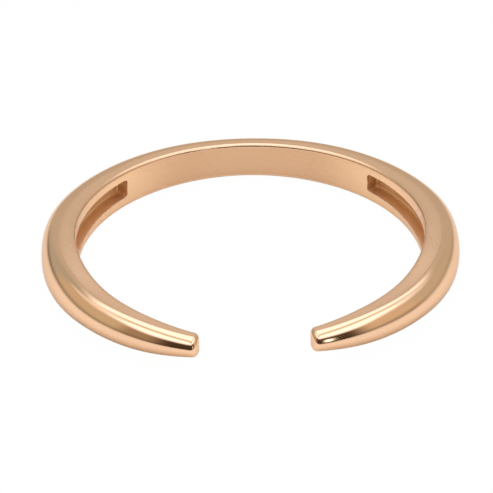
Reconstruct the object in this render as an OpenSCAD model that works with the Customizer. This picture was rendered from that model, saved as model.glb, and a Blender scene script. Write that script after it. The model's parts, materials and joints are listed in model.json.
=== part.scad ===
// An open cuff ring in one piece: a band round the finger, tallest at its two sides and drawn down to
// two rounded tips that face each other across a gap. Its rims are flat, its outer flank is domed, and
// a pocket in the inner wall of each side makes it lighter.
// It lies on its side: the finger hole's axis is Z, the gap faces -Y, and the sides rest on Z = 0.

/* [Finger hole] */
// Radius of the finger hole
bore_r = 8.5; // [8:0.25:10.5]
// Gap between the two tips, straight across the finger hole's wall
gap_w = 5.05; // [4.6:0.05:7]
// Radius that softens the edges where the rims meet the finger hole
rim_r = 0.15; // [0.08:0.01:0.2]

/* [Band height] */
// Height of the band at the middle of its back
back_h = 1.88; // [1.7:0.01:2.2]
// Height of the band at its sides, where it is tallest
side_h = 2.52; // [2.3:0.01:3]
// Height of the band at its tips
tip_h = 1.08; // [0.95:0.01:1.4]

/* [Band thickness] */
// Thickness of the band at the middle of its back
back_t = 1.36; // [1.15:0.01:1.6]
// Thickness of the band at its sides
side_t = 1.71; // [1.5:0.01:2.1]
// Thickness of the band at its tips
tip_t = 0.9; // [0.75:0.01:1.15]
// Radius that rounds the edges of the tips' end faces
tip_r = 0.24; // [0.12:0.01:0.28]
// How far the tips have sprung out of line, the one at +X up and the other down
tip_skew = 0.09; // [0:0.01:0.2]

/* [Pockets] */
// Angle from the middle of the back at which each pocket starts
pocket_start = 45.5; // [40:0.5:60]
// Angle from the middle of the back at which each pocket ends
pocket_end = 124; // [110:1:126]
// Depth of the pockets, outwards from the finger hole's wall
pocket_depth = 0.7; // [0.4:0.05:0.8]
// Wall left between a pocket and each rim of the band
pocket_rim = 0.55; // [0.45:0.01:0.65]
// How far the middle of a pocket lies below the middle of the band at a side
pocket_drop = 0.17; // [0:0.01:0.2]
// Radius of the pocket's corners
pocket_corner_r = 0.18; // [0.05:0.01:0.25]

/* [Hidden] */
metal = [0.86, 0.62, 0.47];

// Where the band is tallest and where it ends, as angles from the middle of the back
side_a = 90;
tip_a = 180 - asin(gap_w / 2 / bore_r);

// How the band changes from its back to a side. The columns are the share of the way, the shares of the
// change in height and in thickness that are done by then, the flat rim's share of the thickness, and how
// full the dome is: 2 is an ellipse, and less is more pointed.
back_to_side = [
    // way, tall, thick, flat, full
    [0.00, 0.00, 0.00, 0.35, 1.85],
    [0.33, 0.14, 0.40, 0.36, 1.85],
    [0.61, 0.32, 0.96, 0.37, 1.85],
    [0.83, 0.64, 1.16, 0.40, 1.80]
];
// The same from a side to a tip
side_to_tip = [
    // way, tall, thick, flat, full
    [0.00, 0.00, 0.00, 0.43, 1.80],
    [0.20, 0.07, 0.01, 0.46, 1.80],
    [0.48, 0.39, 0.20, 0.47, 1.80],
    [0.76, 0.63, 0.56, 0.46, 1.92],
    [1.00, 1.00, 1.00, 0.30, 2.10]
];

function mix(from, to, share) = from + (to - from) * share;

// Both tables in real sizes, as points of [angle, value] from the back to a tip
heights = concat(
    [for (s = back_to_side) [s[0] * side_a, mix(back_h, side_h, s[1])]],
    [for (s = side_to_tip) [mix(side_a, tip_a, s[0]), mix(side_h, tip_h, s[1])]]
);
thicknesses = concat(
    [for (s = back_to_side) [s[0] * side_a, mix(back_t, side_t, s[2])]],
    [for (s = side_to_tip) [mix(side_a, tip_a, s[0]), mix(side_t, tip_t, s[2])]]
);
flats = concat(
    [for (s = back_to_side) [s[0] * side_a, s[3]]],
    [for (s = side_to_tip) [mix(side_a, tip_a, s[0]), s[3]]]
);
fullnesses = concat(
    [for (s = back_to_side) [s[0] * side_a, s[4]]],
    [for (s = side_to_tip) [mix(side_a, tip_a, s[0]), s[4]]]
);

// The value at angle a of a smooth curve through such points, level at the back and wherever it turns round
function point_before(points, a, i = 0) =
    i + 2 >= len(points) || a < points[i + 1][0] ? i : point_before(points, a, i + 1);
function rise(points, i) = (points[i + 1][1] - points[i][1]) / (points[i + 1][0] - points[i][0]);
function slope(points, i) =
    i == 0 ? 0 :
    i == len(points) - 1 ? rise(points, i - 1) :
    rise(points, i - 1) * rise(points, i) <= 0 ? 0 :
    (rise(points, i - 1) + rise(points, i)) / 2;
function curve(points, a) =
    let (
        i = point_before(points, a),
        run = points[i + 1][0] - points[i][0],
        u = (a - points[i][0]) / run,
        v = 1 - u
    )
    points[i][1] * v * v * (1 + 2 * u) + points[i + 1][1] * u * u * (1 + 2 * v)
    + run * u * v * (slope(points, i) * v - slope(points, i + 1) * u);

// A rounded edge of radius r seen as a list of [distance from the end, how far the sides are drawn in]
round_steps = 4;
function rounding(r) = [for (k = [0 : round_steps])
    let (b = 90 * k / round_steps) [r * (1 - cos(b)), r * (1 - sin(b))]];
function arc_angle(length) = length / bore_r * 180 / PI;

// Outline of the band's cross-section at angle a as [radius, height above its middle], drawn in by inset.
// The inner side lies just inside the finger hole, which is drilled afterwards.
drill_allowance = 0.05;
dome_steps = 16;
rim_steps = 3;
rim_end_a = 25;
rim_share = 1 / 3; // a rim's radius is at most this share of half the height, which limits it near the tips
function rim(inner, half, r) = concat(
    [[inner - drill_allowance,
        half - r * (1 - sin(rim_end_a)) - (r * (1 - cos(rim_end_a)) + drill_allowance) / tan(rim_end_a)]],
    [for (k = [0 : rim_steps])
        let (b = mix(rim_end_a, 90, k / rim_steps)) [inner + r * (1 - cos(b)), half - r * (1 - sin(b))]]
);
function section(a, inset) =
    let (
        half = curve(heights, a) / 2 - inset,
        thickness = curve(thicknesses, a) - inset,
        dome = thickness * (1 - curve(flats, a)) - inset / 2,
        power = 2 / curve(fullnesses, a),
        top_rim = rim(bore_r + inset, half, min(rim_r, half * rim_share)),
        edge = bore_r + thickness - dome
    )
    concat(
        top_rim,
        [for (k = [0 : dome_steps])
            let (b = mix(90, -90, k / dome_steps))
            [edge + dome * pow(cos(b), power), half * sign(b) * pow(abs(sin(b)), power)]],
        [for (k = [len(top_rim) - 1 : -1 : 0]) [top_rim[k][0], -top_rim[k][1]]]
    );

// Outline of a pocket at angle a, drawn in by inset above and below
function pocket_section(a, inset) =
    let (
        along = (a - pocket_start) / (pocket_end - pocket_start),
        middle = -pocket_drop * pow(sin(180 * along), 2),
        half = curve(heights, a) / 2 - pocket_rim - inset
    )
    [
        [bore_r - pocket_depth, middle + half],
        [bore_r + pocket_depth, middle + half],
        [bore_r + pocket_depth, middle - half],
        [bore_r - pocket_depth, middle - half]
    ];

// How far the band's middle has sprung up at angle a: nothing at the back, little at the sides
skew_power = 6;
function skew(a) = sign(a) * tip_skew * pow(sin(a / 2), skew_power);

// A skin over outlines that stand round the Z axis at the given angles, in rising order
module loft(angles, outlines) {
    n = len(outlines[0]);
    last = len(outlines) - 1;
    polyhedron(
        points = [for (i = [0 : last]) for (p = outlines[i])
            [p[0] * sin(angles[i]), p[0] * cos(angles[i]), p[1] + skew(angles[i])]],
        faces = concat(
            [[for (j = [n - 1 : -1 : 0]) j]],
            [for (i = [0 : last - 1]) for (j = [0 : n - 1])
                let (here = i * n + j, next = i * n + (j + 1) % n) [here, next, here + n]],
            [for (i = [0 : last - 1]) for (j = [0 : n - 1])
                let (here = i * n + j, next = i * n + (j + 1) % n) [next, next + n, here + n]],
            [[for (j = [0 : n - 1]) last * n + j]]
        )
    );
}

band_steps = 84;
module band_blank() {
    ends = rounding(tip_r);
    full_a = tip_a - arc_angle(tip_r);
    stations = concat(
        [for (e = ends) [-tip_a + arc_angle(e[0]), e[1]]],
        [for (k = [1 : band_steps - 1]) [mix(-full_a, full_a, k / band_steps), 0]],
        [for (k = [round_steps : -1 : 0]) [tip_a - arc_angle(ends[k][0]), ends[k][1]]]
    );
    loft([for (s = stations) s[0]], [for (s = stations) section(abs(s[0]), s[1])]);
}

pocket_steps = 20;
module pocket(from, to) {
    corner_r = min(pocket_corner_r, curve(heights, pocket_end) / 2 - pocket_rim);
    ends = rounding(corner_r);
    turn = arc_angle(corner_r);
    stations = concat(
        [for (e = ends) [from + arc_angle(e[0]), e[1]]],
        [for (k = [1 : pocket_steps - 1]) [mix(from + turn, to - turn, k / pocket_steps), 0]],
        [for (k = [round_steps : -1 : 0]) [to - arc_angle(ends[k][0]), ends[k][1]]]
    );
    loft([for (s = stations) s[0]], [for (s = stations) pocket_section(abs(s[0]), s[1])]);
}

bore_sides = 240;
module cuff() {
    color(metal) translate([0, 0, side_h / 2]) difference() {
        band_blank();
        cylinder(r = bore_r, h = 2 * side_h, center = true, $fn = bore_sides);
        pocket(pocket_start, pocket_end);
        pocket(-pocket_end, -pocket_start);
    }
}

cuff();
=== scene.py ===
import json
import math

import bmesh
import bpy
from mathutils import Matrix, Vector


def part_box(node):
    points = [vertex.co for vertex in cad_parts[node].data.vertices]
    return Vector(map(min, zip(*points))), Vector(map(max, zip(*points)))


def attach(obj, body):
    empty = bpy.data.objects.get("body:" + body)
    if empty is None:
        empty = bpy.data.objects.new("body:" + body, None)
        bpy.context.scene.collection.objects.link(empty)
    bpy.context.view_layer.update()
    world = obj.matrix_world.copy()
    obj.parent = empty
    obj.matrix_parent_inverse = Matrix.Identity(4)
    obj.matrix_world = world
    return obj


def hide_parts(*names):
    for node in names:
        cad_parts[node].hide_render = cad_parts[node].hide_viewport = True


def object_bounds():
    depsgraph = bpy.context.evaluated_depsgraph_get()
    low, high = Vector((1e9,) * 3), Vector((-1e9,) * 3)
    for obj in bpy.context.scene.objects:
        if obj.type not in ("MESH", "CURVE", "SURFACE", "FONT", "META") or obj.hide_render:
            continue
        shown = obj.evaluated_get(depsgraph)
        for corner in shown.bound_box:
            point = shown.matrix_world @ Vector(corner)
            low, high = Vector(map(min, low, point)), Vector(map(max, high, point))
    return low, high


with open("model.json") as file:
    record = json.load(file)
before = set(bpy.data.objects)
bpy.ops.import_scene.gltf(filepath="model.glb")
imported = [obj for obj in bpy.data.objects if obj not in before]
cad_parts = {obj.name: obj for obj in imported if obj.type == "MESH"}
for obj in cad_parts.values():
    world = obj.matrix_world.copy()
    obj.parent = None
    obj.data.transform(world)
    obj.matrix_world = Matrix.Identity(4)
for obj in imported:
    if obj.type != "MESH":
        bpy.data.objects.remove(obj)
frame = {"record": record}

mm = 0.001
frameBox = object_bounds()
cuffLow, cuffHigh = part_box("cuff")
bore = frame["record"]["mounts"][0]["dims"]["r_mm"] * mm
sideHeight = cuffHigh.z + cuffLow.z  # the tips' skew lifts one side as much as it lowers the other


def mix(low, high, share):
    return low + (high - low) * share


def steps(count):  # 0 to 1 in equal steps
    return [k / count for k in range(count + 1)]


def smoothStep(share):  # 0 to 1 as the share goes from 0 to 1, level at both ends and held there
    share = min(1.0, max(0.0, share))
    return share * share * (3 - 2 * share)


def quarter(count):  # a quarter turn in equal steps
    return [math.radians(90 * s) for s in steps(count)]


def arcAngle(length):  # degrees along the finger hole's wall
    return math.degrees(length / bore)


# A smooth curve through (angle, value) points, level at its start and where it turns round
def curveAt(points, a):
    i = 0
    while i + 2 < len(points) and a >= points[i + 1][0]:
        i += 1
    rises = [(q[1] - p[1]) / (q[0] - p[0]) for p, q in zip(points, points[1:])]

    def slope(k):
        if k == 0:
            return 0.0
        if k == len(points) - 1:
            return rises[-1]
        return 0.0 if rises[k - 1] * rises[k] <= 0 else (rises[k - 1] + rises[k]) / 2

    run = points[i + 1][0] - points[i][0]
    u = (a - points[i][0]) / run
    v = 1 - u
    return (
        points[i][1] * v * v * (1 + 2 * u)
        + points[i + 1][1] * u * u * (1 + 2 * v)
        + run * u * v * (slope(i) * v - slope(i + 1) * u)
    )


# The band: sizes in metres, angles in degrees from the middle of the back

band = {
    "gap": 5.05 * mm,
    "backHeight": 1.88 * mm,
    "sideHeight": sideHeight,
    "tipHeight": 1.08 * mm,
    "backThick": cuffHigh.y - bore,
    "sideThick": 1.71 * mm,
    "tipThick": 0.90 * mm,
    "rimRadius": 0.17 * mm,     # softens the edges where the rims meet the finger hole
    "rimShare": 1 / 3,          # and is at most this share of half the height
    "tipRadius": 0.24 * mm,
    "tipSkew": 0.09 * mm,
    "skewPower": 6,
    "sideAngle": 90,
    # Shares of the way and of the changes in height and thickness, the flat rim's share of the thickness,
    # and how full the dome is: 2 is an ellipse, and less is more pointed
    "backToSide": [
        {"way": 0.00, "tall": 0.00, "thick": 0.00, "flat": 0.35, "full": 1.85},
        {"way": 0.33, "tall": 0.14, "thick": 0.40, "flat": 0.36, "full": 1.90},
        {"way": 0.61, "tall": 0.32, "thick": 0.90, "flat": 0.38, "full": 1.98},
        {"way": 0.83, "tall": 0.64, "thick": 1.13, "flat": 0.42, "full": 2.08},
    ],
    "sideToTip": [
        {"way": 0.00, "tall": 0.00, "thick": 0.00, "flat": 0.46, "full": 2.10},
        {"way": 0.20, "tall": 0.07, "thick": 0.01, "flat": 0.48, "full": 2.00},
        {"way": 0.48, "tall": 0.39, "thick": 0.20, "flat": 0.47, "full": 1.80},
        {"way": 0.76, "tall": 0.63, "thick": 0.56, "flat": 0.49, "full": 1.68},
        {"way": 1.00, "tall": 1.00, "thick": 1.00, "flat": 0.46, "full": 1.62},
    ],
    "sideLightTurn": (20, 55),        # between these angles the wall's tint goes from the back's over to the sides' brighter one, painted light
    # Where the painted shade starts, as a share of the way up or down the wall from its middle, out over a
    # flat rim, or over the flank from its middle to a rim: the surfaces are painted darker towards their
    # edges
    "shadeStart": {"wall": 0.85, "rim": 0.6, "flank": 0.80},
    "filletShade": 0.5,          # how much painted shade lies on the softened edges
    "filletShadeEnd": 0.3,       # and the share of the way out over a rim where that ends
    # Mesh density
    "wallRows": (6, 14, 6),
    "filletRows": 8,
    "flatRows": 6,
    "domeRows": 56,
    "stationStep": 0.9,
    "endSteps": 10,
}
tipAngle = 180 - math.degrees(math.asin(band["gap"] / 2 / bore))

pocket = {
    "start": 45.5,
    "end": 124,
    "depth": 0.7 * mm,
    "rim": 0.55 * mm,
    "drop": 0.17 * mm,
    "topLift": 0.04 * mm,       # how much closer to the upper rim the opening ends
    "cornerRadius": 0.18 * mm,
    "lipRadius": 0.035 * mm,
    "footSpread": 0.12 * mm,    # the rounding between a pocket's sides and its floor, along the floor
    "footRise": 0.24 * mm,      # and along the sides
    "footShade": 0.35,        # the painted shade along the foot, as a share of that at the upper lip
    "shadeTop": 0.5,          # how far up the opening that reaches, where its foot is -1 and its top is 1
    # Mesh density
    "cornerSteps": 10,
    "lipSteps": 4,
    "sideSteps": 3,
    "footSteps": 6,
    "spareShare": 0.2,          # half the opening's rows where there is no pocket, as a share of the height
    "wallShare": 0.8,           # and the most of the wall that those rows take
}


# Points of (angle, value) from the back to a tip, by a column of the two tables: its shares of the changes
# between three sizes, or its own values where no sizes are given
def bandPoints(column, atBack=None, atSide=None, atTip=None):
    points = []
    for row in band["backToSide"]:
        value = row[column] if atBack is None else mix(atBack, atSide, row[column])
        points.append((row["way"] * band["sideAngle"], value))
    for row in band["sideToTip"]:
        value = row[column] if atBack is None else mix(atSide, atTip, row[column])
        points.append((mix(band["sideAngle"], tipAngle, row["way"]), value))
    return points


heights = bandPoints("tall", band["backHeight"], band["sideHeight"], band["tipHeight"])
thicknesses = bandPoints("thick", band["backThick"], band["sideThick"], band["tipThick"])
flats = bandPoints("flat")
fullnesses = bandPoints("full")


def skew(a):  # how far the band's middle has sprung up at angle a
    return math.copysign(band["tipSkew"] * math.sin(math.radians(abs(a)) / 2) ** band["skewPower"], a)


def place(a, radius, height):
    turn = math.radians(a)
    return (radius * math.sin(turn), radius * math.cos(turn), sideHeight / 2 + height + skew(a))


def rounding(radius, count):  # (distance from the end, how far the sides are drawn in)
    return [(radius * (1 - math.cos(b)), radius * (1 - math.sin(b))) for b in quarter(count)]


def openingAt(a):  # middle and half height of a pocket's opening, measured from the band's middle
    along = (abs(a) - pocket["start"]) / (pocket["end"] - pocket["start"])
    middle = -pocket["drop"] * math.sin(math.pi * along) ** 2 if 0 < along < 1 else 0.0
    height = curveAt(heights, abs(a))
    lift = pocket["topLift"] / 2
    return middle + lift, max(height / 2 - pocket["rim"], height * pocket["spareShare"]) + lift


def shadeAlong(surface, share):  # how much painted shade lies at a share of the way over a surface
    start = band["shadeStart"][surface]
    shading = smoothStep((share - start) / (1 - start))
    if surface == "rim":
        shading = max(shading, band["filletShade"] * smoothStep(1 - share / band["filletShadeEnd"]))
    return shading


# The outline at angle a, from the foot of the finger hole's wall up and round: rows of (radius, height, edge,
# shade), where edge is 1 in the middle of a softened edge and shade is 1 where the most painted shade lies
def section(a, inset, openInset):
    half = curveAt(heights, abs(a)) / 2 - inset
    thick = curveAt(thicknesses, abs(a)) - inset
    dome = thick * (1 - curveAt(flats, abs(a))) - inset / 2
    power = 2 / curveAt(fullnesses, abs(a))
    edge = bore + thick - dome
    inner = bore + inset
    fillet = min(band["rimRadius"], half * band["rimShare"])
    wallTop = half - fillet
    middle, halfOpen = openingAt(a)
    halfOpen = min(halfOpen + pocket["lipRadius"] - openInset, pocket["wallShare"] * wallTop - abs(middle))
    low, across, high = band["wallRows"]
    heightsUp = [mix(-wallTop, middle - halfOpen, s) for s in steps(low)]
    heightsUp += [mix(middle - halfOpen, middle + halfOpen, s) for s in steps(across)[1:]]
    heightsUp += [mix(middle + halfOpen, wallTop, s) for s in steps(high)[1:]]
    outline = [(inner, z, 0.0, shadeAlong("wall", abs(z) / wallTop)) for z in heightsUp]
    rim = []
    for b in quarter(band["filletRows"])[1:]:
        out, up = fillet * (1 - math.cos(b)), fillet * math.sin(b)
        rim.append((inner + out, wallTop + up, math.sin(2 * b), band["filletShade"]))
    for s in steps(band["flatRows"])[1:]:
        rim.append((mix(inner + fillet, edge, s), half, 0.0, shadeAlong("rim", s)))
    outline += rim
    for s in steps(band["domeRows"])[1:-1]:
        b = math.radians(mix(90, -90, s))
        rise = math.copysign(abs(math.sin(b)) ** power, b)
        outline.append((edge + dome * math.cos(b) ** power, half * rise, 0.0, shadeAlong("flank", abs(rise))))
    return outline + [(r, -z, e, d) for r, z, e, d in reversed(rim)]


# One half's stations: (angle, inset of the outline, inset of the opening's rows, place in the pocket)
def stations():
    lip = pocket["lipRadius"]
    corner = pocket["cornerRadius"] + lip
    start = pocket["start"] - arcAngle(lip)
    end = pocket["end"] + arcAngle(lip)
    turn = arcAngle(corner)
    ends = list(enumerate(rounding(corner, pocket["cornerSteps"])))
    tipEnds = rounding(band["tipRadius"], band["endSteps"])
    full = tipAngle - arcAngle(band["tipRadius"])

    def between(low, high):
        count = max(1, round((high - low) / band["stationStep"]))
        return [mix(low, high, s) for s in steps(count)]

    made = [(a, 0.0, corner, None) for a in between(0, start)[:-1]]
    made += [(start + arcAngle(e), 0.0, i, ("start", k)) for k, (e, i) in ends]
    made += [(a, 0.0, 0.0, ("middle", a)) for a in between(start + turn, end - turn)[1:-1]]
    made += [(end - arcAngle(e), 0.0, i, ("end", k)) for k, (e, i) in reversed(ends)]
    made += [(a, 0.0, corner, None) for a in between(end, full)[1:-1]]
    made += [(tipAngle - arcAngle(e), i, corner, None) for e, i in reversed(tipEnds)]
    return made


# A point inside a pocket and its place in the flat layout. The share runs from -1 at the opening's foot to 1
# at its top, and the offset is how far the pocket is widened there
def pocketPoint(key, side, share, offset, depth):
    corner = pocket["cornerRadius"] + offset
    kind, value = key
    if kind == "middle":
        a, inset = value, 0.0
    else:
        e, inset = rounding(corner, pocket["cornerSteps"])[value]
        e -= offset
        a = pocket["start"] + arcAngle(e) if kind == "start" else pocket["end"] - arcAngle(e)
    middle, halfOpen = openingAt(a)
    height = middle + share * (halfOpen + offset - inset)
    spot = (side * math.radians(a) * bore / mm, (height + depth) / mm)
    return place(side * a, bore + depth, height), spot


def pocketLoops():  # (offset outwards in the wall, depth) of the rings from the lip to the foot
    lip, depth = pocket["lipRadius"], pocket["depth"]
    spread, rise = pocket["footSpread"], pocket["footRise"]
    loops = [(lip * (1 - math.sin(b)), lip * (1 - math.cos(b))) for b in quarter(pocket["lipSteps"])[1:]]
    loops += [(0.0, mix(lip, depth - rise, s)) for s in steps(pocket["sideSteps"])[1:]]
    for b in quarter(pocket["footSteps"])[1:]:
        loops.append((-spread * (1 - math.cos(b)), depth - rise * (1 - math.sin(b))))
    return loops


class Skin:  # the mesh as it grows: points with their masks, and faces with their finish and flat layout
    def __init__(self):
        self.points, self.spots = [], []
        self.masks = {"pocketDepth": [], "softEdge": [], "rimDust": [], "offBack": []}
        self.faces, self.kinds, self.layout = [], [], []

    def addPoint(self, point, spot, **masks):
        self.points.append(point)
        self.spots.append(spot)
        for name, values in self.masks.items():
            values.append(masks.get(name, 0.0))
        return len(self.points) - 1

    def addFace(self, corners, kind, spots=None):
        self.faces.append(tuple(corners))
        self.kinds.append(kind)
        self.layout.append(spots or [self.spots[c] for c in corners])


# Adds the outline's points at every station, and tells how long round each outline is
def strandOutlines(skin, whole):
    rounds = []
    lightStart, lightEnd = band["sideLightTurn"]
    for a, inset, openInset, key, side in whole:
        outline = section(a, inset, openInset)
        tipEdge = math.sin(math.pi * (inset / band["tipRadius"]))
        # the share of the way over to the sides, where the wall is painted lighter
        offBack = smoothStep((abs(a) - lightStart) / (lightEnd - lightStart))
        across = 0.0
        for k, (r, z, edge, shading) in enumerate(outline):
            if k:
                across += math.dist((r, z), outline[k - 1][:2])
            spot = (math.radians(a) * bore / mm, across / mm)
            skin.addPoint(place(a, r, z), spot, softEdge=max(edge, tipEdge), rimDust=shading, offBack=offBack)
        rounds.append((across + math.dist(outline[-1][:2], outline[0][:2])) / mm)
    return rounds


def skinBand(skin, whole, inPocket, rounds):
    low, across, high = band["wallRows"]
    wall = low + across + high
    rows = len(skin.points) // len(whole)

    def kindOf(j):  # which finish the strip between rows j and j + 1 has
        if j < wall:
            return "wall"
        fromWall = min(j - wall, rows - 1 - j)
        return "rim" if fromWall < band["filletRows"] + band["flatRows"] else "flank"

    for i in range(len(whole) - 1):
        for j in range(rows):
            if inPocket[i] and inPocket[i + 1] and low <= j < low + across:
                continue
            here, there, nextRow = i * rows, (i + 1) * rows, (j + 1) % rows
            corners = (here + j, here + nextRow, there + nextRow, there + j)
            spots = [skin.spots[c] for c in corners]
            if nextRow == 0:  # the flat layout goes on past its start instead of jumping back
                spots[1] = (spots[1][0], rounds[i])
                spots[2] = (spots[2][0], rounds[i + 1])
            skin.addFace(corners, kindOf(j), spots)
    last = (len(whole) - 1) * rows
    skin.addFace(range(rows), "flank")
    skin.addFace([last + j for j in reversed(range(rows))], "flank")
    return rows


def skinPocket(skin, whole, columns, side, rows):
    low, across, high = band["wallRows"]
    rim = [(i, 0) for i in columns[:-1]]
    rim += [(columns[-1], j) for j in range(across)]
    rim += [(i, across) for i in reversed(columns[1:])]
    rim += [(columns[0], across - j) for j in range(across)]
    ring = [i * rows + low + j for i, j in rim]

    def dig(i, j, offset, depth):
        up = 2 * j / across - 1
        point, spot = pocketPoint(whole[i][3], side, up, offset, depth)
        edge = 1.0 if depth <= pocket["lipRadius"] else 0.0
        deep = min(1.0, depth / pocket["depth"])
        # painted shade under the upper lip and along the pocket's foot, carried by the same mask as the rims'
        foot = pocket["footShade"] * smoothStep(deep) * smoothStep(pocket["shadeTop"] - up)
        pocketShade = max(edge * up, foot)
        return skin.addPoint(point, spot, pocketDepth=deep, softEdge=edge, rimDust=pocketShade, offBack=1.0)

    loops = pocketLoops()
    for offset, depth in loops[:-1]:
        fresh = [dig(i, j, offset, depth) for i, j in rim]
        for k in range(len(rim)):
            n = (k + 1) % len(rim)
            spots = [skin.spots[c] for c in (fresh[k], fresh[n], fresh[n], fresh[k])]
            skin.addFace((ring[k], ring[n], fresh[n], fresh[k]), "pocket", spots)
        ring = fresh
    offset, depth = loops[-1]
    grid = {(i, j): dig(i, j, offset, depth) for i in columns for j in range(across + 1)}
    for k in range(len(rim)):
        n = (k + 1) % len(rim)
        skin.addFace((ring[k], ring[n], grid[rim[n]], grid[rim[k]]), "pocket")
    for i in columns[:-1]:
        for j in range(across):
            skin.addFace((grid[i, j], grid[i, j + 1], grid[i + 1, j + 1], grid[i + 1, j]), "pocket")


def buildCuff(finishes):
    half = stations()
    whole = [(-a, i, o, key, -1) for a, i, o, key in reversed(half[1:])]
    whole += [(a, i, o, key, 1) for a, i, o, key in half]
    inPocket = [w[3] is not None for w in whole]
    skin = Skin()
    rounds = strandOutlines(skin, whole)
    rows = skinBand(skin, whole, inPocket, rounds)
    for side in (-1, 1):
        columns = [i for i in range(len(whole)) if inPocket[i] and whole[i][4] == side]
        skinPocket(skin, whole, columns, side, rows)

    mesh = bpy.data.meshes.new("cuff_band")
    mesh.from_pydata(skin.points, [], skin.faces)
    for name, values in skin.masks.items():
        mesh.attributes.new(name, "FLOAT", "POINT").data.foreach_set("value", values)
    flat = mesh.uv_layers.new(name="millimetres")
    flat.data.foreach_set("uv", [value for spots in skin.layout for spot in spots for value in spot])
    for finish in finishes.values():
        mesh.materials.append(finish)
    order = list(finishes)
    for face, kind in zip(mesh.polygons, skin.kinds):
        face.material_index = order.index(kind)
        face.use_smooth = True
    work = bmesh.new()
    work.from_mesh(mesh)
    bmesh.ops.recalc_face_normals(work, faces=work.faces)
    openEdges = sum(not e.is_manifold for e in work.edges)
    print("cuff: %.1f cubic mm, %d open edges" % (work.calc_volume() / mm**3, openEdges))
    work.to_mesh(mesh)
    work.free()

    cuff = bpy.data.objects.new("cuff_band", mesh)
    bpy.context.scene.collection.objects.link(cuff)
    evenNormals = cuff.modifiers.new("flatFacesFirst", "WEIGHTED_NORMAL")
    evenNormals.keep_sharp = True
    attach(cuff, "root")
    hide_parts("cuff")
    print("cuff ready:", len(mesh.polygons), "faces")


# Node trees

def addNode(tree, kind, **settings):  # an input's value or link by its name, or else the node's own setting
    node = tree.nodes.new(kind)
    for name, value in settings.items():
        socket = name.replace("_", " ")
        if socket in node.inputs:
            setInput(tree, node, socket, value)
        else:
            setattr(node, name, value)
    return node


def setInput(tree, node, name, value):
    if isinstance(value, bpy.types.NodeSocket):
        tree.links.new(value, node.inputs[name])
    else:
        node.inputs[name].default_value = value


def opaque(value):  # a colour with its alpha, and anything else as it is
    return (*value, 1.0) if isinstance(value, tuple) else value


def maths(tree, operation, *values):
    node = tree.nodes.new("ShaderNodeMath")
    node.operation = operation
    for k, value in enumerate(values):
        setInput(tree, node, k, value)
    return node.outputs[0]


def smooth(tree, value, low, high):  # 0 at low and 1 at high, whichever of them is more
    node = addNode(tree, "ShaderNodeMapRange", interpolation_type="SMOOTHSTEP", Value=value,
                   From_Min=min(low, high), From_Max=max(low, high))
    if low > high:
        node.inputs["To Min"].default_value, node.inputs["To Max"].default_value = 1.0, 0.0
    return node.outputs["Result"]


def blend(tree, mask, first, second):  # from one colour to another, by the colour sockets of a Mix node
    node = tree.nodes.new("ShaderNodeMix")
    node.data_type = "RGBA"
    for k, value in zip((0, 6, 7), (mask, first, second)):
        setInput(tree, node, k, opaque(value))
    return node.outputs[2]


# The studio: a light table in a white tent, dark only where the camera looks in. Directions round it are
# degrees from the camera's side, left ones below 0, and directions up are degrees above the table

studio = {
    "floorSize": 3.0,
    "floorColour": (0.88, 0.86, 0.82),
    "farShare": 0.62,           # how bright the table is beyond the light that falls round the ring
    "lightPool": (15 * mm, 45 * mm),  # how far from the ring's middle that light fades
    "floorGlow": 0.18,          # light from below the table's top
    "floorRoughness": 0.9,
    "floorSpecular": 0.1,
    "whiteShare": 0.98,         # how far the lens sees the lit table as plain white
    # The tent's wall is eight plain panels that go over into each other: where each begins and ends, its
    # colour, and how much darker it is at its foot
    "wall": {
        "leftBack": {"round": (-180, -160), "colour": (0.75, 0.70, 0.65), "shade": 0.0},
        "leftSide": {"round": (-135, -125), "colour": (0.60, 0.60, 0.55), "shade": 0.6},
        "leftCard": {"round": (-110, -72), "colour": (0.75, 0.65, 0.50), "shade": 0.5},
        "leftEdge": {"round": (-58, -48), "colour": (0.45, 0.35, 0.25), "shade": 0.5},
        "opening": {"round": (-30, 38), "colour": (0.08, 0.055, 0.03), "shade": 0.5},
        "rightCard": {"round": (58, 85), "colour": (0.85, 0.70, 0.55), "shade": 0.6},
        "rightSide": {"round": (100, 130), "colour": (0.70, 0.65, 0.55), "shade": 0.2},
        "rightBack": {"round": (155, 180), "colour": (0.75, 0.70, 0.65), "shade": 0.0},
    },
    "foot": (-2, 15),           # how far up the wall comes out of that shade
    "ceilingColour": (0.93, 0.96, 0.82),
    "ceiling": (50, 58),        # how far up the wall goes over into it
    "lampColour": (2.0, 1.95, 2.2),
    "lampFoot": (32, 44),       # how far up the lamps overhead begin
    "lampRise": 6,              # how much higher that is at the sides
    "riseSpread": (45, 85),     # how far round from the camera's side it rises
    # The rest of the lamps' layout is in slopes from the zenith: 1 is as far out as up
    "leastUp": 0.05,            # slopes grow no more below this share of a direction's length
    "lampTurn": 0.17,           # how far the lamps are turned
    "lampEnd": 0.88,            # where they end behind the zenith
    "endFall": (0.50, 0.70),    # how much nearer they end towards the sides, and how far out that goes on
    "lampEdge": 0.08,           # how soft their edges are
    "seamWidth": 0.24,          # half the width of the dark seam between them
    "seam": ((-0.80, 1.6), (-0.32, 0.8)),  # its two lines: their starts, and their swing back to the sides
    "seamFade": (0.50, 0.85),   # how far out the seam fades
    "seamLight": 0.55,          # and how bright it is there, as a share of the lamps
    # A faint strip light at each side, and a narrow window beside the camera
    "strip": {"round": 105, "up": 42.5, "halfWidth": 14, "halfHeight": 4, "share": 0.30},
    "slit": {"round": 27.4, "up": 16, "halfWidth": 1.7, "halfHeight": 7, "colour": (5.0, 5.0, 4.8)},
    "slitEdge": 0.3,            # how soft the edges of both are, as a share of half their size
}


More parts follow.
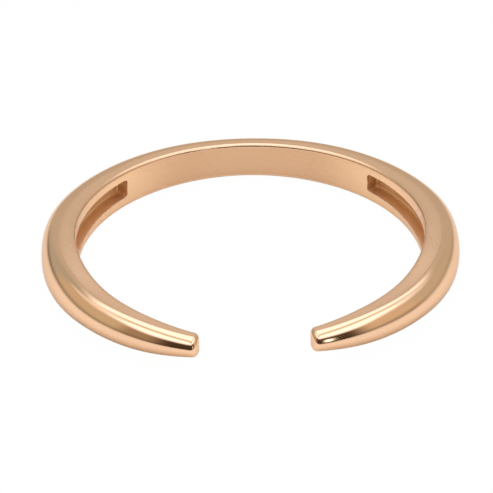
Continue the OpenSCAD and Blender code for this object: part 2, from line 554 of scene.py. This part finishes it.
def lampMask(tree, direction, aside, elevation):
    x, y, z = direction
    up = maths(tree, "MAXIMUM", z, studio["leastUp"])
    right = maths(tree, "DIVIDE", x, up)
    across = maths(tree, "ABSOLUTE", right)
    behind = maths(tree, "MULTIPLY_ADD", right, -1.0 * studio["lampTurn"], maths(tree, "DIVIDE", y, up))
    rise = smooth(tree, aside, *studio["riseSpread"])
    hung = maths(tree, "MULTIPLY_ADD", rise, -1.0 * studio["lampRise"], elevation)
    fall, fallEnd = studio["endFall"]
    end = maths(tree, "MULTIPLY_ADD", maths(tree, "MINIMUM", across, fallEnd), -1.0 * fall, studio["lampEnd"])
    seams = [maths(tree, "MULTIPLY_ADD", across, swing, start) for start, swing in studio["seam"]]
    offSeam = maths(tree, "SUBTRACT", behind, maths(tree, "MINIMUM", *seams))
    soft, width = studio["lampEdge"], studio["seamWidth"]
    lamps = maths(tree, "MULTIPLY", smooth(tree, hung, *studio["lampFoot"]),
                  smooth(tree, maths(tree, "SUBTRACT", behind, end), soft, -soft))
    clear = smooth(tree, maths(tree, "ABSOLUTE", offSeam), width - soft, width + soft)
    faded = maths(tree, "MULTIPLY", smooth(tree, across, *studio["seamFade"]), studio["seamLight"])
    return maths(tree, "MULTIPLY", lamps, maths(tree, "MAXIMUM", clear, faded))


def windowMask(tree, turned, elevation, window):
    near, far = 1 - studio["slitEdge"], 1 + studio["slitEdge"]
    mask = 1.0
    for value, middle, half in ((turned, "round", "halfWidth"), (elevation, "up", "halfHeight")):
        offMiddle = maths(tree, "ABSOLUTE", maths(tree, "SUBTRACT", value, float(window[middle])))
        mask = maths(tree, "MULTIPLY", mask, smooth(tree, offMiddle, far * window[half], near * window[half]))
    return mask


def buildWorld():
    world = bpy.data.worlds.new("lightTent")
    bpy.context.scene.world = world
    world.use_nodes = True
    tree = world.node_tree
    tree.nodes.clear()
    where = addNode(tree, "ShaderNodeTexCoord").outputs["Generated"]
    direction = addNode(tree, "ShaderNodeSeparateXYZ", Vector=where).outputs
    x, y, z = direction
    degrees = 180 / math.pi
    elevation = maths(tree, "MULTIPLY", maths(tree, "ARCSINE", z), degrees)
    azimuth = maths(tree, "MULTIPLY", maths(tree, "ARCTAN2", x, maths(tree, "MULTIPLY", y, -1.0)), degrees)
    aside = maths(tree, "ABSOLUTE", azimuth)

    along = maths(tree, "DIVIDE", maths(tree, "ADD", azimuth, 180.0), 360.0)
    ramp = addNode(tree, "ShaderNodeValToRGB", Fac=along)
    stops = ramp.color_ramp.elements
    edges = [(edge, panel) for panel in studio["wall"].values() for edge in panel["round"]]
    while len(stops) < len(edges):
        stops.new(0.5)
    for stop, (edge, panel) in zip(stops, edges):
        stop.position = (edge + 180) / 360
        stop.color = (*panel["colour"], panel["shade"])
    ramp.color_ramp.interpolation = "EASE"

    atFoot = smooth(tree, elevation, *reversed(studio["foot"]))
    shade = maths(tree, "MULTIPLY", atFoot, ramp.outputs["Alpha"])
    tent = blend(tree, shade, ramp.outputs["Color"], (0.0, 0.0, 0.0))
    tent = blend(tree, smooth(tree, elevation, *studio["ceiling"]), tent, studio["ceilingColour"])
    strips = windowMask(tree, aside, elevation, studio["strip"])
    strips = maths(tree, "MULTIPLY", strips, studio["strip"]["share"])
    lamps = maths(tree, "MAXIMUM", lampMask(tree, direction, aside, elevation), strips)
    tent = blend(tree, lamps, tent, studio["lampColour"])
    slit = windowMask(tree, azimuth, elevation, studio["slit"])
    tent = blend(tree, slit, tent, studio["slit"]["colour"])
    light = addNode(tree, "ShaderNodeBackground", Color=tent)
    addNode(tree, "ShaderNodeOutputWorld", Surface=light.outputs[0])


def buildFloor():
    half = studio["floorSize"] / 2
    z = frameBox[0].z
    corners = [(-half, -half, z), (half, -half, z), (half, half, z), (-half, half, z)]
    mesh = bpy.data.meshes.new("floor")
    mesh.from_pydata(corners, [], [(0, 1, 2, 3)])
    floor = bpy.data.objects.new("floor", mesh)
    bpy.context.scene.collection.objects.link(floor)
    paper = bpy.data.materials.new("lightTable")
    paper.use_nodes = True
    tree = paper.node_tree
    shader = tree.nodes["Principled BSDF"]
    where = addNode(tree, "ShaderNodeTexCoord").outputs["Object"]
    away = addNode(tree, "ShaderNodeVectorMath", operation="LENGTH")
    tree.links.new(where, away.inputs[0])
    # a pool of light painted into the table's colour and glow: brighter round the ring, dimmer beyond
    far = smooth(tree, away.outputs["Value"], *studio["lightPool"])
    dimmer = tuple(c * studio["farShare"] for c in studio["floorColour"])
    pool = blend(tree, far, studio["floorColour"], dimmer)
    setInput(tree, shader, "Base Color", pool)
    setInput(tree, shader, "Emission Color", pool)
    shader.inputs["Emission Strength"].default_value = studio["floorGlow"]
    shader.inputs["Roughness"].default_value = studio["floorRoughness"]
    shader.inputs["Specular IOR Level"].default_value = studio["floorSpecular"]
    white = addNode(tree, "ShaderNodeEmission")
    seen = addNode(tree, "ShaderNodeLightPath").outputs["Is Camera Ray"]
    both = addNode(tree, "ShaderNodeMixShader", Fac=maths(tree, "MULTIPLY", seen, studio["whiteShare"]))
    tree.links.new(shader.outputs[0], both.inputs[1])
    tree.links.new(white.outputs[0], both.inputs[2])
    setInput(tree, tree.nodes["Material Output"], "Surface", both.outputs[0])
    mesh.materials.append(paper)


# The camera: it stands at the gap's side and looks down a little along the band

view = {
    "elevation": 31.80,
    "roll": -0.790,
    "aside": -1.032,            # how far it stands off the gap's middle, in degrees
    "distance": 144.355 * mm,
    "nearest": 10 * mm,         # nothing closer to the lens than this is seen
    "focalPixels": 2952.8,
    "imagePixels": 493,
    "centre": (249.90, 247.28),  # the pixel that shows the middle of the finger hole
    "sensor": 36.0,
}


def buildCamera():
    lens = bpy.data.cameras.new("camera")
    lens.sensor_width = view["sensor"]
    lens.lens = view["focalPixels"] / view["imagePixels"] * view["sensor"]
    lens.clip_start = view["nearest"]
    middle = (view["imagePixels"] - 1) / 2
    lens.shift_x = -(view["centre"][0] - middle) / view["imagePixels"]
    lens.shift_y = (view["centre"][1] - middle) / view["imagePixels"]
    camera = bpy.data.objects.new("camera", lens)
    bpy.context.scene.collection.objects.link(camera)
    bpy.context.scene.camera = camera
    up, turn = math.radians(view["elevation"]), math.radians(view["aside"])
    back = Vector((math.cos(up) * math.sin(turn), -math.cos(up) * math.cos(turn), math.sin(up)))
    stand = Matrix.Translation(Vector((0, 0, sideHeight / 2)) + back * view["distance"])
    look = (-back).to_track_quat("-Z", "Y").to_matrix().to_4x4()
    camera.matrix_world = stand @ look @ Matrix.Rotation(math.radians(view["roll"]), 4, "Z")


# The metal: one alloy with four finishes

gold = {
    "colour": (0.785, 0.535, 0.345),
    "toneColour": (0.60, 0.37, 0.21),
    # the colour that the painted shade along the rims and in the pockets goes towards
    "shadeColour": (0.38, 0.24, 0.14),
    "dullShare": 0.5,           # toned patches go this far to the dull roughness, and hairlines as far again
    "flank": {
        "toneAmount": 0.05, "patchesPerMm": 0.35, "shadeAmount": 0.12,
        "linesPerMm": 0.9, "stretch": 2.5, "lift": 0.0022 * mm,
        "roughness": 0.10, "dullRoughness": 0.17, "edgeRoughness": 0.14, "edgeTint": (0.80, 0.75, 0.68),
    },
    "rim": {
        "toneAmount": 0.06, "patchesPerMm": 0.35, "shadeAmount": 0.12,
        "linesPerMm": 9.0, "stretch": 14.0, "lift": 0.00035 * mm,
        "roughness": 0.24, "dullRoughness": 0.36, "edgeRoughness": 0.20, "edgeTint": (0.90, 0.88, 0.86),
    },
    "wall": {
        "backTint": (0.77, 0.725, 0.66), "sideLightTint": (1.06, 1.05, 0.97),  # painted light: the wall is brighter beside the pockets
        "toneAmount": 0.08, "patchesPerMm": 0.35, "shadeAmount": 0.10,
        "linesPerMm": 7.0, "stretch": 10.0, "lift": 0.0003 * mm,
        "roughness": 0.22, "dullRoughness": 0.34, "edgeRoughness": 0.22, "edgeTint": (1.0, 1.0, 1.0),
    },
    "pocket": {
        # the pocket's deep colour is painted shade, darker and warmer than its colour at the lip
        "colour": (0.88, 0.66, 0.45), "deepShadeColour": (0.87, 0.59, 0.335),
        "toneAmount": 0.10, "patchesPerMm": 1.1, "pocketShade": 0.7,
        "grainPerMm": 5.0, "pitsPerMm": 3.0, "lift": 0.006 * mm,
        "roughness": 0.50, "dullRoughness": 0.62,
    },
}

# What the effects have in common wherever they are used
effects = {
    "tone": {"detail": 3.0, "roughness": 0.55, "limits": (0.35, 0.68)},
    "shading": {"detail": 3.0, "roughness": 0.55, "perMm": 0.9, "least": 0.7, "swing": 0.6},
    "lines": {"detail": 4.0, "roughness": 0.5},
    # Hairlines run where a slanted noise, drawn out along them, comes near a level
    "hairs": {"detail": 2.0, "roughness": 0.5, "perMm": 1.1, "slant": 0.35, "stretch": 14.0,
              "level": 0.5, "width": 0.02},
    "grain": {"detail": 5.0, "roughness": 0.6},
    "pits": {"limits": (0.30, 0.05), "depth": 0.5},
}


def newGroup(name, inputs, outputs):  # names with their kinds of socket: "Float", "Color" or "Vector"
    group = bpy.data.node_groups.new(name, "ShaderNodeTree")
    for direction, sockets in (("INPUT", inputs), ("OUTPUT", outputs)):
        for socket, kind in sockets.items():
            group.interface.new_socket(socket, in_out=direction, socket_type="NodeSocket" + kind)
    return group, group.nodes.new("NodeGroupInput").outputs, group.nodes.new("NodeGroupOutput")


def noise(tree, where, scale, effect):
    return addNode(tree, "ShaderNodeTexNoise", Vector=where, Scale=scale, Detail=effect["detail"],
                   Roughness=effect["roughness"]).outputs[0]


def attribute(tree, name):
    return addNode(tree, "ShaderNodeAttribute", attribute_name=name).outputs["Fac"]


# Slow changes of the alloy's tone over the surface
def buildToneDrift():
    effect = effects["tone"]
    inputs = {"Colour": "Color", "Tone Colour": "Color", "Amount": "Float", "Patches Per Mm": "Float"}
    group, given, out = newGroup("toneDrift", inputs, {"Colour": "Color", "Mask": "Float"})
    where = addNode(group, "ShaderNodeTexCoord").outputs["Object"]
    perMetre = maths(group, "DIVIDE", given["Patches Per Mm"], mm)
    mask = smooth(group, noise(group, where, perMetre, effect), *effect["limits"])
    setInput(group, out, "Mask", mask)
    amount = maths(group, "MULTIPLY", mask, given["Amount"])
    setInput(group, out, "Colour", blend(group, amount, given["Colour"], given["Tone Colour"]))
    return group


# Painted shade along the rims and softened edges, heavier here and there
def buildPaintedShade():
    effect = effects["shading"]
    inputs = {"Colour": "Color", "Dust Colour": "Color", "Amount": "Float"}
    group, given, out = newGroup("rimDust", inputs, {"Colour": "Color"})
    where = addNode(group, "ShaderNodeTexCoord").outputs["Object"]
    cloud = noise(group, where, effect["perMm"] / mm, effect)
    patches = maths(group, "MULTIPLY_ADD", cloud, effect["swing"], effect["least"])
    shaded = maths(group, "MULTIPLY", attribute(group, "rimDust"), patches)
    mask = maths(group, "MULTIPLY", shaded, given["Amount"])
    setInput(group, out, "Colour", blend(group, mask, given["Colour"], given["Dust Colour"]))
    return group


# Marks of the polishing wheel, drawn out along the band, with a few hairlines
def buildWheelMarks():
    effect = effects["hairs"]
    inputs = {"Lines Per Mm": "Float", "Stretch": "Float"}
    group, given, out = newGroup("wheelMarks", inputs, {"Height": "Float", "Hairlines": "Float"})
    flat = addNode(group, "ShaderNodeUVMap", uv_map="millimetres").outputs[0]
    along, across, depth = addNode(group, "ShaderNodeSeparateXYZ", Vector=flat).outputs
    shorter = maths(group, "DIVIDE", along, given["Stretch"])
    drawn = addNode(group, "ShaderNodeCombineXYZ", X=shorter, Y=across).outputs[0]
    setInput(group, out, "Height", noise(group, drawn, given["Lines Per Mm"], effects["lines"]))
    slanted = maths(group, "MULTIPLY_ADD", across, effect["slant"], along)
    narrow = maths(group, "MULTIPLY", across, effect["stretch"])
    drawn = addNode(group, "ShaderNodeCombineXYZ", X=slanted, Y=narrow).outputs[0]
    fine = noise(group, drawn, effect["perMm"], effect)
    offLine = maths(group, "ABSOLUTE", maths(group, "SUBTRACT", fine, effect["level"]))
    setInput(group, out, "Hairlines", smooth(group, offLine, effect["width"], 0.0))
    return group


# The skin of an unpolished casting: fine grain with shallow pits
def buildCastGrain():
    effect = effects["pits"]
    inputs = {"Grain Per Mm": "Float", "Pits Per Mm": "Float"}
    group, given, out = newGroup("castGrain", inputs, {"Height": "Float", "Pits": "Float"})
    where = addNode(group, "ShaderNodeTexCoord").outputs["Object"]
    grain = noise(group, where, maths(group, "DIVIDE", given["Grain Per Mm"], mm), effects["grain"])
    perMetre = maths(group, "DIVIDE", given["Pits Per Mm"], mm)
    cells = addNode(group, "ShaderNodeTexVoronoi", Vector=where, Scale=perMetre).outputs["Distance"]
    pits = smooth(group, cells, *effect["limits"])
    setInput(group, out, "Pits", pits)
    sunk = maths(group, "MULTIPLY", pits, effect["depth"])
    setInput(group, out, "Height", maths(group, "SUBTRACT", grain, sunk))
    return group


def addGroup(tree, group, **values):
    node = tree.nodes.new("ShaderNodeGroup")
    node.node_tree = group
    for name, value in values.items():
        setInput(tree, node, name.replace("_", " "), opaque(value))
    return node.outputs


def newMetal(name):
    made = bpy.data.materials.new(name)
    made.use_nodes = True
    shader = made.node_tree.nodes["Principled BSDF"]
    shader.inputs["Metallic"].default_value = 1.0
    return made, made.node_tree, shader


def bump(tree, height, lift):
    return addNode(tree, "ShaderNodeBump", Height=height, Strength=1.0, Distance=lift).outputs[0]


def tinted(tint):
    return tuple(c * t for c, t in zip(gold["colour"], tint))


def polishedMetal(name, look, groups):
    made, tree, shader = newMetal(name)
    colour = gold["colour"]
    if "backTint" in look:
        # painted light: the wall's colour is brighter beside the pockets than at the back
        colour = blend(tree, attribute(tree, "offBack"), tinted(look["backTint"]), tinted(look["sideLightTint"]))
    tone = addGroup(tree, groups["toneDrift"], Colour=colour, Tone_Colour=gold["toneColour"],
                    Amount=look["toneAmount"], Patches_Per_Mm=look["patchesPerMm"])
    # the Base Color carries the painted shade along the rims and softened edges
    shading = addGroup(tree, groups["rimDust"], Colour=tone["Colour"], Dust_Colour=gold["shadeColour"],
                    Amount=look["shadeAmount"])
    marks = addGroup(tree, groups["wheelMarks"], Lines_Per_Mm=look["linesPerMm"], Stretch=look["stretch"])
    edge = maths(tree, "MULTIPLY", attribute(tree, "softEdge"), look["edgeRoughness"] - look["roughness"])
    duller = (look["dullRoughness"] - look["roughness"]) * gold["dullShare"]
    dull = maths(tree, "MULTIPLY_ADD", tone["Mask"], duller, look["roughness"])
    hair = maths(tree, "MULTIPLY_ADD", marks["Hairlines"], duller, dull)
    shader.inputs["Specular Tint"].default_value = opaque(look["edgeTint"])
    setInput(tree, shader, "Base Color", shading["Colour"])
    setInput(tree, shader, "Roughness", maths(tree, "ADD", hair, edge))
    setInput(tree, shader, "Normal", bump(tree, marks["Height"], look["lift"]))
    return made


def castMetal(name, look, groups):
    made, tree, shader = newMetal(name)
    grain = addGroup(tree, groups["castGrain"], Grain_Per_Mm=look["grainPerMm"],
                     Pits_Per_Mm=look["pitsPerMm"])
    # painted shade: the pocket goes darker and warmer towards its floor
    depth = smooth(tree, attribute(tree, "pocketDepth"), 0.0, 1.0)
    deep = blend(tree, depth, look["colour"], look["deepShadeColour"])
    tone = addGroup(tree, groups["toneDrift"], Colour=deep, Tone_Colour=gold["toneColour"],
                    Amount=look["toneAmount"], Patches_Per_Mm=look["patchesPerMm"])
    # painted shade under the upper lip and along the foot of the pocket
    pocketShade = maths(tree, "MULTIPLY", attribute(tree, "rimDust"), look["pocketShade"])
    setInput(tree, shader, "Base Color", blend(tree, pocketShade, tone["Colour"], gold["shadeColour"]))
    duller = look["dullRoughness"] - look["roughness"]
    setInput(tree, shader, "Roughness", maths(tree, "MULTIPLY_ADD", grain["Pits"], duller, look["roughness"]))
    setInput(tree, shader, "Normal", bump(tree, grain["Height"], look["lift"]))
    return made


def buildFinishes():
    groups = {"toneDrift": buildToneDrift(), "rimDust": buildPaintedShade(), "wheelMarks": buildWheelMarks(),
              "castGrain": buildCastGrain()}
    finishes = {part: polishedMetal(part + "Gold", gold[part], groups) for part in ("flank", "rim", "wall")}
    finishes["pocket"] = castMetal("pocketGold", gold["pocket"], groups)
    print("finishes ready")
    return finishes


buildCamera()
buildWorld()
buildFloor()
print("studio ready")
buildCuff(buildFinishes())
bpy.context.scene.view_settings.view_transform = "Standard"
